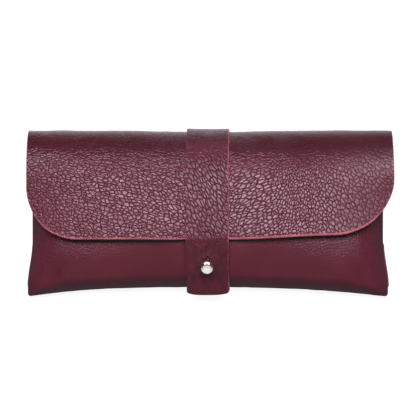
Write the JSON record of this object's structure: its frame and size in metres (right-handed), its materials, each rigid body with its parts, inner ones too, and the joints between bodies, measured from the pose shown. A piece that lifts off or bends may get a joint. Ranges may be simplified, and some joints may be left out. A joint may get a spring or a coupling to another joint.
{
  "type": "soft pouch glasses case",
  "caption": "Soft leather pouch for glasses with a fold-over flap and a closing strap that buttons onto a ball stud.",
  "frame": {"origin": "middle of the footprint, on the surface that the case's back lies on", "axes": "+X across the case to the right as seen from the front, +Y towards the top fold, +Z out of the front"},
  "size_m": [0.1773, 0.0818, 0.0338],
  "materials": {
    "leather": "burgundy pebbled grain, soft sheen, red raw edges",
    "suede_inside": "red suede flesh side",
    "thread": "waxed burgundy thread",
    "nickel": "polished nickel"
  },
  "bodies": {
    "pouch": {"back_panel": "leather", "front_panel": "leather", "seam_allowance_left": "suede_inside", "seam_allowance_right": "suede_inside", "seam_thread_left": "thread", "seam_thread_right": "thread", "strap_back": "leather", "strap_stitching": "thread", "ball_stud": "nickel", "stud_washer": "suede_inside", "stud_screw": "nickel"},
    "fold": {"flap_fold": "leather", "strap_fold": "leather"},
    "flap": {"flap_front": "leather", "strap_top": "leather"},
    "strap": {"strap_front": "leather"}
  },
  "joints": [
    {"name": "back_fold", "type": "hinge", "parent": "pouch", "child": "fold", "pos_m": [0, 0.0373, 0.0034], "axis": [-1, 0, 0], "range_deg": [0, 90]},
    {"name": "top_fold", "type": "hinge", "parent": "fold", "child": "flap", "pos_m": [0, 0.0373, 0.014], "axis": [-1, 0, 0], "range_deg": [0, 44]},
    {"name": "strap_lift", "type": "hinge", "parent": "flap", "child": "strap", "pos_m": [0, 0.02739, 0.02743], "axis": [1, 0, 0], "range_deg": [-100, 0]}
  ]
}
